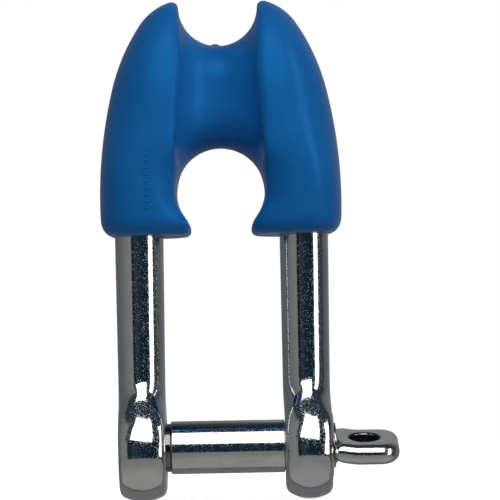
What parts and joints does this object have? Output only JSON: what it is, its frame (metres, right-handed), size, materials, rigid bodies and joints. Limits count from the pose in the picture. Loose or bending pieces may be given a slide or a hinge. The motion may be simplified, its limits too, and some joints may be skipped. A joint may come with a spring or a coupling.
{
  "type": "thimble shackle",
  "caption": "Long D shackle with a screw pin and a moulded rope thimble over its bow, for joining a spliced rope to a fitting.",
  "frame": {"origin": "on the axis of the screw pin, midway between the two eyes", "axes": "+X along the pin towards its lug, +Y from the front of the thimble to its rear, +Z from the pin to the horns of the thimble"},
  "size_m": [0.0448, 0.022, 0.0759],
  "materials": {
    "shackle_body": "forged stainless steel, mirror polished",
    "thimble_front": "moulded polyamide, royal blue, satin gloss",
    "thimble_rear": "moulded polyamide, royal blue, satin gloss",
    "shackle_pin": "turned and forged stainless steel, polished"
  },
  "bodies": {
    "shackle": {"shackle_body": "shackle_body", "thimble_front": "thimble_front", "thimble_rear": "thimble_rear"},
    "pin": {"shackle_pin": "shackle_pin"}
  },
  "joints": [
    {"name": "pin_withdraw", "type": "slide", "parent": "shackle", "child": "pin", "axis": [1, 0, 0], "range_m": [0, 0.04]}
  ]
}
